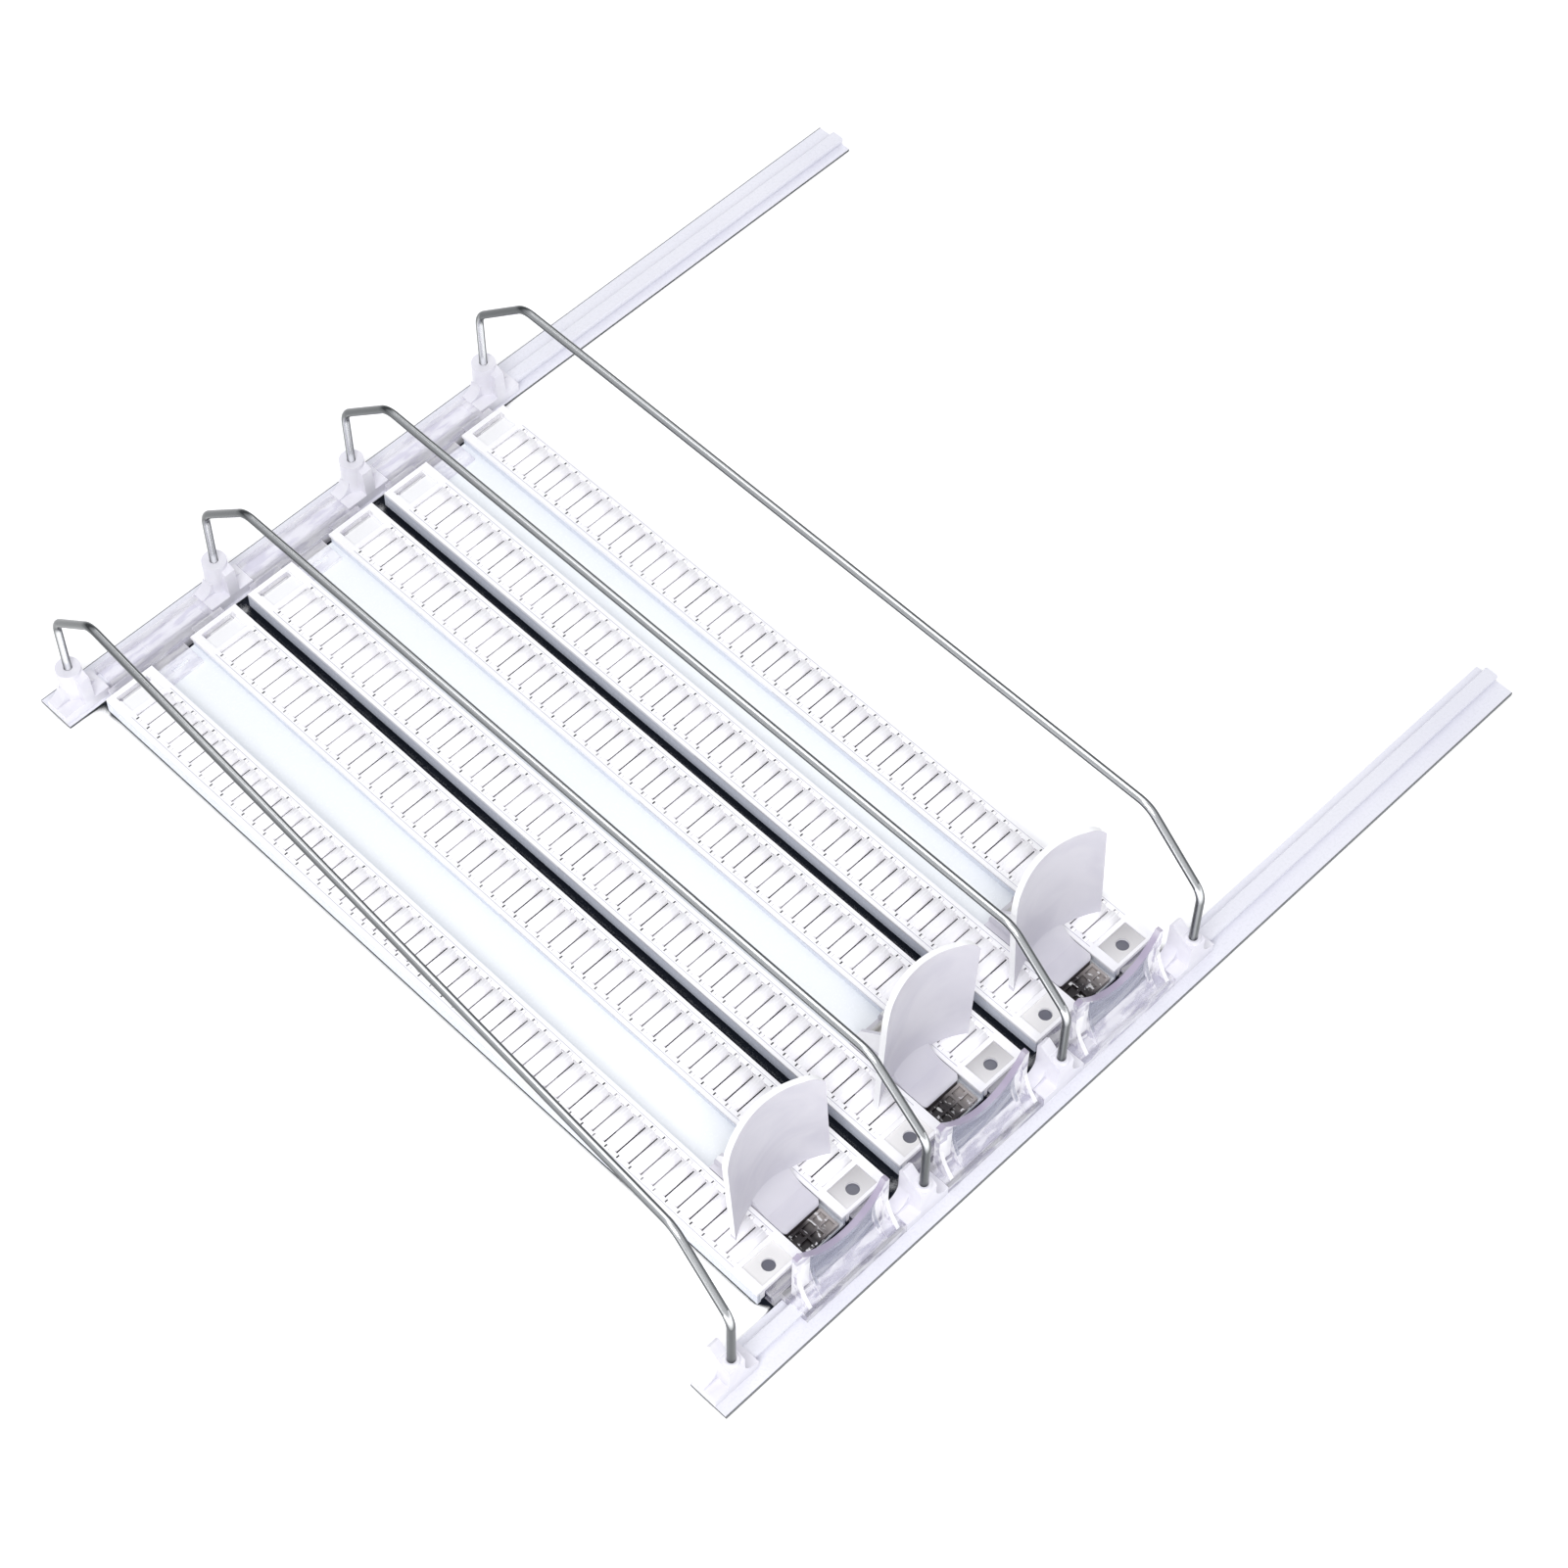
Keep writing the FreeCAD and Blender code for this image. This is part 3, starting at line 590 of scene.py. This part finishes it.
def roller_row_tree():
    """Geometry nodes: from each seed point, a row of rollers with stubs in notches, each notch a
    thin dark sheet of painted shade.
    """
    tree = bpy.data.node_groups.new("roller_row", "GeometryNodeTree")
    sizes = ("Pitch", "Radius", "Length", "Axle", "Stub", "Stub axle", "Notch", "Notch width",
             "Notch shift", "Notch film", "Top")
    for name, in_out, kind in (
        ("Geometry", "INPUT", "Geometry"), ("Count", "INPUT", "Int"),
        *((size, "INPUT", "Float") for size in sizes),
        ("White", "INPUT", "Material"), ("Dark", "INPUT", "Material"),
        ("Geometry", "OUTPUT", "Geometry"),
    ):
        tree.interface.new_socket(name=name, in_out=in_out, socket_type=f"NodeSocket{kind}")
    nodes, links = tree.nodes, tree.links
    inputs = nodes.new("NodeGroupInput").outputs
    outputs = nodes.new("NodeGroupOutput").inputs

    def vector(x, y, z):
        node = nodes.new("ShaderNodeCombineXYZ")
        for socket, value in zip(node.inputs, (x, y, z)):
            feed(tree, value, socket)
        return node.outputs["Vector"]

    def moved(geometry, x, y, z, turn=(0.0, 0.0, 0.0)):
        node = nodes.new("GeometryNodeTransform")
        node.inputs["Rotation"].default_value = turn
        links.new(geometry, node.inputs["Geometry"])
        links.new(vector(x, y, z), node.inputs["Translation"])
        return node.outputs["Geometry"]

    def finished(geometry, material):
        node = nodes.new("GeometryNodeSetMaterial")
        links.new(geometry, node.inputs["Geometry"])
        links.new(material, node.inputs["Material"])
        return node.outputs["Geometry"]

    def lying_rod(radius, length, sides, x, z):
        rod = nodes.new("GeometryNodeMeshCylinder")
        rod.inputs["Vertices"].default_value = sides
        links.new(radius, rod.inputs["Radius"])
        links.new(length, rod.inputs["Depth"])
        round_side = nodes.new("GeometryNodeSetShadeSmooth")
        links.new(rod.outputs["Mesh"], round_side.inputs["Geometry"])
        links.new(rod.outputs["Side"], round_side.inputs["Selection"])
        lying = moved(round_side.outputs["Geometry"], x, 0.0, z, turn=(0.0, math.pi / 2, 0.0))
        return finished(lying, inputs["White"])

    parts = [lying_rod(inputs["Radius"], inputs["Length"], roller_sides, 0.0, inputs["Axle"])]
    end = reckon(tree, "ADD", reckon(tree, "DIVIDE", inputs["Length"], 2.0),
                 reckon(tree, "DIVIDE", inputs["Notch"], 2.0))
    for sign in (-1.0, 1.0):
        middle = reckon(tree, "MULTIPLY", end, sign)
        parts.append(lying_rod(inputs["Stub"], inputs["Notch"], stub_sides, middle,
                               inputs["Stub axle"]))
        notch = nodes.new("GeometryNodeMeshCube")
        links.new(vector(inputs["Notch"], inputs["Notch width"], inputs["Notch film"]),
                  notch.inputs["Size"])
        parts.append(finished(moved(notch.outputs["Mesh"], middle, inputs["Notch shift"],
                                    inputs["Top"]), inputs["Dark"]))
    unit = nodes.new("GeometryNodeJoinGeometry")
    for part in parts:
        links.new(part, unit.inputs["Geometry"])
    row = nodes.new("GeometryNodeMeshLine")
    links.new(inputs["Count"], row.inputs["Count"])
    links.new(vector(0.0, inputs["Pitch"], 0.0), row.inputs["Offset"])
    half = reckon(tree, "MULTIPLY", reckon(tree, "SUBTRACT", inputs["Count"], 1.0), -0.5)
    links.new(vector(0.0, reckon(tree, "MULTIPLY", half, inputs["Pitch"]), 0.0),
              row.inputs["Start Location"])
    along = nodes.new("GeometryNodeInstanceOnPoints")
    links.new(row.outputs["Mesh"], along.inputs["Points"])
    links.new(unit.outputs["Geometry"], along.inputs["Instance"])
    rows = nodes.new("GeometryNodeInstanceOnPoints")
    links.new(inputs["Geometry"], rows.inputs["Points"])
    links.new(along.outputs["Instances"], rows.inputs["Instance"])
    realize = nodes.new("GeometryNodeRealizeInstances")
    links.new(rows.outputs["Instances"], realize.inputs["Geometry"])
    links.new(realize.outputs["Geometry"], outputs["Geometry"])
    return tree


roller_white, tree, shader, colour = white_plastic(
    "roller_white", (0.975, 0.965, 0.99), (0.95, 0.94, 0.975), cloud_size=120.0, gloss=0.3
)
# Painted light: the rollers glow faintly.
shader.inputs["Emission Color"].default_value = (0.98, 0.97, 1.0, 1)
shader.inputs["Emission Strength"].default_value = 0.16
# Painted shade: the notches are thin dark sheets laid on the frame's top.
notch_painted_shade, tree, shader = new_material("notch_painted_shade")
tree.links.new(uneven_painted_shade(tree), shader.inputs["Base Color"])
shader.inputs["Roughness"].default_value = 0.7
roller_row = roller_row_tree()
for number, middle in enumerate(lane_middles, 1):
    seeds = bpy.data.meshes.new("strip_middles")
    seeds.from_pydata([(middle - strip_offset, 0, 0), (middle + strip_offset, 0, 0)], [], [])
    rollers = grown(f"rollers_{number}", seeds, roller_row, {
        "Count": roller_count, "Pitch": roller_pitch, "Radius": roller_radius,
        "Length": roller_length, "Axle": roller_axle, "Stub": stub_radius,
        "Stub axle": stub_axle, "Notch": notch_length, "Notch width": notch_width,
        "Notch shift": notch_shift, "Notch film": notch_film, "Top": strip_top,
        "White": roller_white, "Dark": notch_painted_shade,
    })
    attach(rollers, f"lane_{number}")

# ---- Clear stops and rear clips
# Clear mouldings with a violet cast that clip on the rails and hold the lanes' ends. They
# are see-through face on, whiter at a glance, and darkest in the thick rim. Their window panels
# and the patch under each deck hole are painted dark as painted shade, the braces' front faces are
# painted white as a painted highlight, and the mouldings glow faintly: painted light.
rim_height = 0.0245
window_half_width = 0.0165
window_low = 0.0115
brace_inside = 0.0166
brace_low = 0.0064
brace_high = 0.0255
hole_half_width = 0.0075
hole_along = -0.1755
hole_half_length = 0.006

clear_plastic, tree, shader = new_material("clear_plastic")
at, facing = axes_of(tree, "Object"), axes_of(tree, "Normal")
spot = place_in_lane(tree)
off_centre = size_of(tree, spot["Across"])
streaks = ramp_between(tree, noise_on(tree, 1.0, squeeze=(90, 420, 200)), 0.46, 0.56)
streak_tint = mix_colours(tree, above(tree, at["Y"], 0.0), (0.50, 0.48, 0.60), (0.76, 0.74, 0.84))
colour = mix_colours(tree, streaks, (0.98, 0.97, 1.0), streak_tint)
rim = all_of(tree, above(tree, at["Z"], rim_height), ramp_between(tree, facing["Z"], 0.35, 0.75))
# Painted shade: the window panels are painted dark blue grey.
window = all_of(tree, below(tree, off_centre, window_half_width),
                above(tree, at["Z"], window_low), above(tree, size_of(tree, facing["Y"]), 0.7))
# Painted highlight: the braces' front faces are painted white.
painted_brace_highlight = all_of(tree, above(tree, off_centre, brace_inside), above(tree, at["Z"], brace_low),
                    below(tree, at["Z"], brace_high), below(tree, facing["Y"], -0.35))
# Painted shade: under each deck hole the moulding is painted near black.
painted_hole_shade = all_of(tree, below(tree, size_of(tree, spot["Off strip"]), hole_half_width),
                     reckon(tree, "COMPARE", spot["Along"], hole_along, hole_half_length))
grazing = tree.nodes.new("ShaderNodeLayerWeight")
grazing.inputs["Blend"].default_value = 0.45
cover = reckon(tree, "MULTIPLY_ADD", grazing.outputs["Facing"], 0.53, 0.22)
for place, tint, density in (
    (rim, (0.34, 0.29, 0.41), 0.85),
    (window, (0.20, 0.22, 0.31), 0.50),
    (painted_brace_highlight, (1.0, 1.0, 1.0), 0.70),
    (painted_hole_shade, (0.035, 0.04, 0.07), 1.0),
):
    colour = mix_colours(tree, place, colour, tint)
    cover = reckon(tree, "MAXIMUM", cover, reckon(tree, "MULTIPLY", place, density))
tree.links.new(colour, shader.inputs["Base Color"])
tree.links.new(cover, shader.inputs["Alpha"])
shader.inputs["Roughness"].default_value = 0.07
shader.inputs["IOR"].default_value = 1.5
# Painted light: the clear mouldings glow faintly.
shader.inputs["Emission Color"].default_value = (0.95, 0.93, 1.0, 1)
shader.inputs["Emission Strength"].default_value = 0.10
for number in range(1, 4):
    paint(f"front_stop_{number}", clear_plastic)
    paint(f"rear_clip_{number}", clear_plastic)

# ---- Pushers
# Satin white moulding, the curved plate and its tongue in one, with soft flow marks. The plate's
# cut edges are painted near white as a painted highlight; the rest is painted a darker lavender
# grey than the other white mouldings as painted shade, and the faces under the tongue near black:
# painted shade.
plate_low = 0.0135
tongue_top = 0.0076
tongue_root = -0.1480

# Painted shade: the pusher's white is painted a darker lavender grey.
pusher_white, tree, shader, colour = white_plastic(
    "pusher_white", (0.735, 0.72, 0.775), (0.655, 0.64, 0.71), cloud_size=38.0, gloss=0.3
)
at, facing = axes_of(tree, "Object"), axes_of(tree, "Normal")
# Painted highlight: the plate's cut edges are painted near white.
painted_edge_highlight = all_of(tree, above(tree, at["Z"], plate_low),
                  below(tree, size_of(tree, facing["Y"]), 0.55))
colour = mix_colours(tree, painted_edge_highlight, colour, (0.98, 0.98, 0.99))
# Painted shade: the faces under the tongue are painted near black.
painted_tongue_shade = all_of(tree, below(tree, at["Z"], tongue_top), below(tree, at["Y"], tongue_root),
                      below(tree, facing["Z"], 0.5))
colour = mix_colours(tree, painted_tongue_shade, colour, (0.06, 0.05, 0.055))
tree.links.new(colour, shader.inputs["Base Color"])
for number in range(1, 4):
    paint(f"pusher_{number}", pusher_white)

# ---- Springs and anchors
# The wound band and its flat end are spring steel; the band runs out over the channel as
# the pusher goes back. The anchor is painted dark, lighter towards its right side as painted
# light, with painted highlights glinting in its cells.
band_start = -0.1805
band_end = -0.1434
band_half_width = 0.005
band_low = 0.00305
band_high = 0.00325
band_steps = 24
cells_dark_until = -0.001
cells_light_from = 0.008

spring_steel, tree, shader = new_material("spring_steel")
shader.inputs["Metallic"].default_value = 1.0
shader.inputs["Roughness"].default_value = 0.3
colour = mix_colours(tree, noise_on(tree, 300.0), (0.42, 0.40, 0.37), (0.62, 0.60, 0.57))
tree.links.new(colour, shader.inputs["Base Color"])

anchor_dark, tree, shader = new_material("anchor_dark")
shader.inputs["Roughness"].default_value = 0.35
# Painted light: the anchor is lighter towards its right side.
lit_side = ramp_between(tree, place_in_lane(tree)["Across"], cells_dark_until, cells_light_from)
colour = mix_colours(tree, lit_side, (0.016, 0.011, 0.013), (0.46, 0.42, 0.41))
# Painted highlight: glints in the anchor's cells.
painted_glint = ramp_between(tree, noise_on(tree, 620.0, squeeze=(1.0, 0.35, 1.0)), 0.60, 0.66)
colour = mix_colours(tree, painted_glint, colour, (0.85, 0.84, 0.85))
tree.links.new(colour, shader.inputs["Base Color"])

for number, middle in enumerate(lane_middles, 1):
    paint(f"spring_coil_{number}", spring_steel)
    paint(f"band_anchor_{number}", anchor_dark)
    places = [band_start + (band_end - band_start) * i / band_steps for i in range(band_steps + 1)]
    band = joined_rings(f"steel_band_{number}", [
        [(middle + x, y, z) for x, z in (
            (-band_half_width, band_low), (band_half_width, band_low),
            (band_half_width, band_high), (-band_half_width, band_high))] for y in places
    ], spring_steel, closed=False)
    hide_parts(f"spring_band_{number}")
    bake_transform(band)
